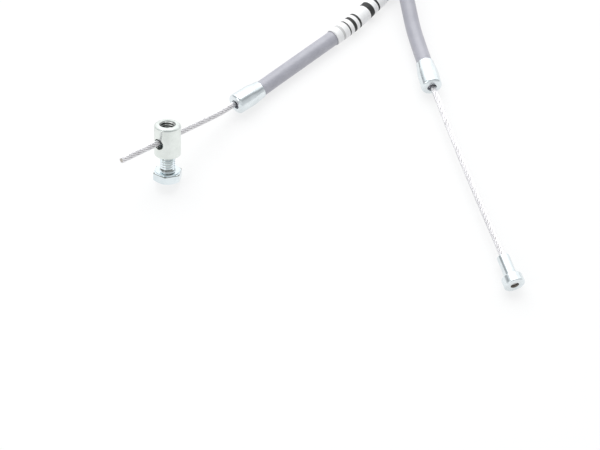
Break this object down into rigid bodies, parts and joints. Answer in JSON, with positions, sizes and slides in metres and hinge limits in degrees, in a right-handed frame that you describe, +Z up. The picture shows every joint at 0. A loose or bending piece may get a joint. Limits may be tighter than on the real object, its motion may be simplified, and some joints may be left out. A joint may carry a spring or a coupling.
{
  "type": "front brake cable",
  "caption": "Moped front brake cable: grey casing with zinc ferrules, stranded inner wire, swaged lever nipple and a bolt clamp at the brake end.",
  "frame": {"origin": "middle of the base of the box round the two ferrules, the nipple and the clamp, on the surface that the cable lies on", "axes": "+Z up from the table, +X from the clamp's side towards the nipple's side, +Y towards the coil of casing"},
  "size_m": [0.1639, 0.264, 0.0274],
  "materials": {
    "zinc": "bright zinc plating",
    "wire": "bright galvanized strand",
    "jacket": "satin grey plastic",
    "spiral": "oiled spring steel",
    "paper": "white paper label with printed bands"
  },
  "bodies": {
    "root": {"clamp_barrel": "zinc", "clamp_bolt": "zinc", "inner_wire_brake_end": "wire", "inner_wire_lever_end": "wire", "brake_end_ferrule": "zinc", "lever_end_ferrule": "zinc", "lever_nipple": "zinc", "casing_brake_leg": "jacket", "casing_lever_leg": "jacket", "casing_coil": "jacket", "steel_spiral_brake_leg": "spiral", "steel_spiral_lever_leg": "spiral", "paper_label": "paper"}
  },
  "joints": []
}
